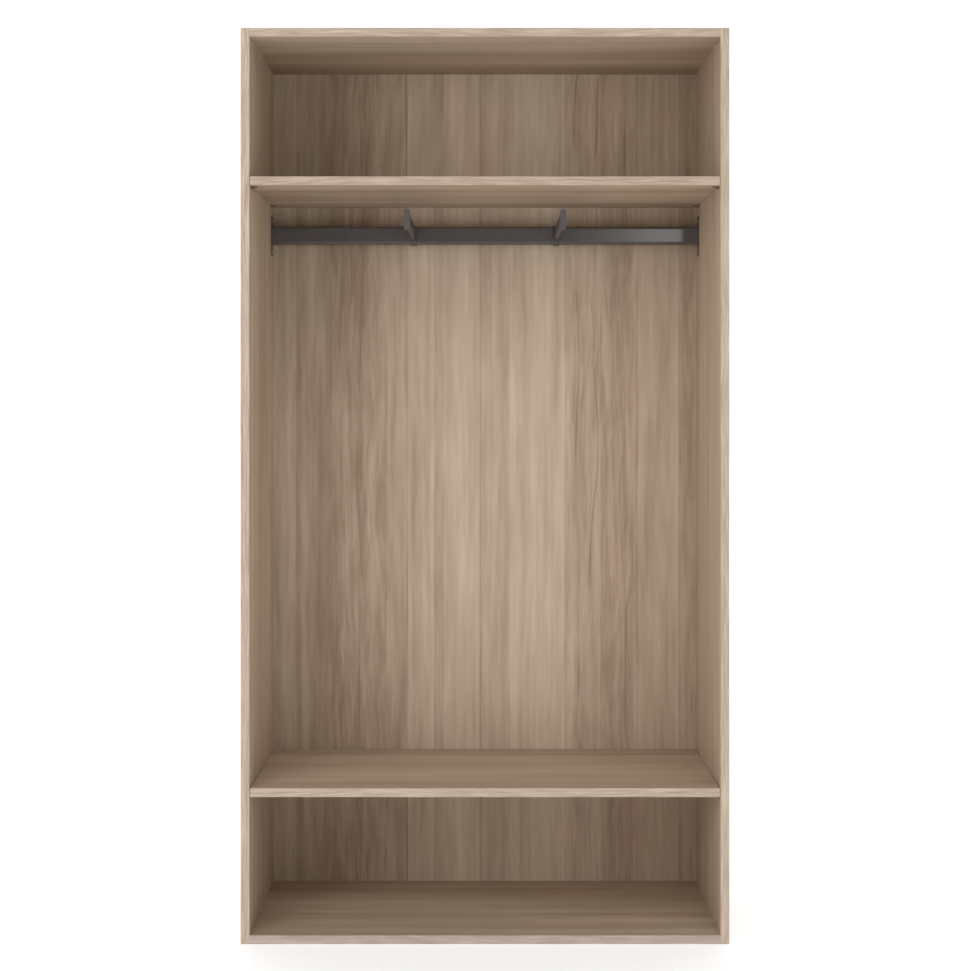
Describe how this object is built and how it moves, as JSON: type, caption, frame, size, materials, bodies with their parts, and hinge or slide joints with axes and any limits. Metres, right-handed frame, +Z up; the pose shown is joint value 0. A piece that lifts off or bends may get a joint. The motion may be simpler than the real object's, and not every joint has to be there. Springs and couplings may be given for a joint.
{
  "type": "open wardrobe carcass",
  "caption": "Tall shallow open wardrobe in wood decor with loose shelves, a dark metal rail at the back and hanger arms that point to the front.",
  "frame": {"origin": "centre of the footprint, on the floor", "axes": "+X to the right seen from the front, +Y towards the wall, +Z up; the open front faces -Y"},
  "size_m": [1, 0.35, 1.897],
  "materials": {
    "oak_decor": "satin",
    "oak_back": "satin",
    "pale_edging": "satin",
    "dark_metal": "satin",
    "zinc_steel": "satin",
    "bronzed_steel": "satin",
    "cam_zinc": "satin",
    "dowel_beech": "matte"
  },
  "bodies": {
    "carcass": {"side_panel_left": "oak_decor", "side_panel_right": "oak_decor", "top_panel": "oak_decor", "bottom_panel": "oak_decor", "back_panel": "oak_back", "side_edging_left": "pale_edging", "side_edging_right": "pale_edging", "top_edging": "pale_edging", "bottom_edging": "pale_edging", "rail_tube": "dark_metal", "rail_end_plate_left": "dark_metal", "rail_end_plate_right": "dark_metal", "rail_plate_screws": "zinc_steel", "cam_bolts": "zinc_steel", "wall_bracket_left": "zinc_steel", "wall_bracket_right": "zinc_steel", "wall_bracket_screws": "zinc_steel", "upper_shelf_pins": "bronzed_steel", "lower_shelf_pins": "bronzed_steel", "cam_locks": "cam_zinc", "wood_dowels": "dowel_beech"},
    "upper_shelf_board": {"upper_shelf": "oak_decor", "upper_shelf_edging": "pale_edging"},
    "lower_shelf_board": {"lower_shelf": "oak_decor", "lower_shelf_edging": "pale_edging"},
    "hanger_arm_left": {"arm_bar_left": "dark_metal", "arm_end_stop_left": "dark_metal", "arm_saddle_left": "dark_metal", "arm_set_screw_left": "zinc_steel"},
    "hanger_arm_right": {"arm_bar_right": "dark_metal", "arm_end_stop_right": "dark_metal", "arm_saddle_right": "dark_metal", "arm_set_screw_right": "zinc_steel"}
  },
  "joints": [
    {"name": "upper_shelf_slide", "type": "slide", "parent": "carcass", "child": "upper_shelf_board", "axis": [0, -1, 0], "range_m": [0, 0.32]},
    {"name": "lower_shelf_slide", "type": "slide", "parent": "carcass", "child": "lower_shelf_board", "axis": [0, -1, 0], "range_m": [0, 0.32]},
    {"name": "left_arm_slide", "type": "slide", "parent": "carcass", "child": "hanger_arm_left", "axis": [1, 0, 0], "range_m": [-0.3, 0.145]},
    {"name": "right_arm_slide", "type": "slide", "parent": "carcass", "child": "hanger_arm_right", "axis": [1, 0, 0], "range_m": [-0.145, 0.3]}
  ]
}
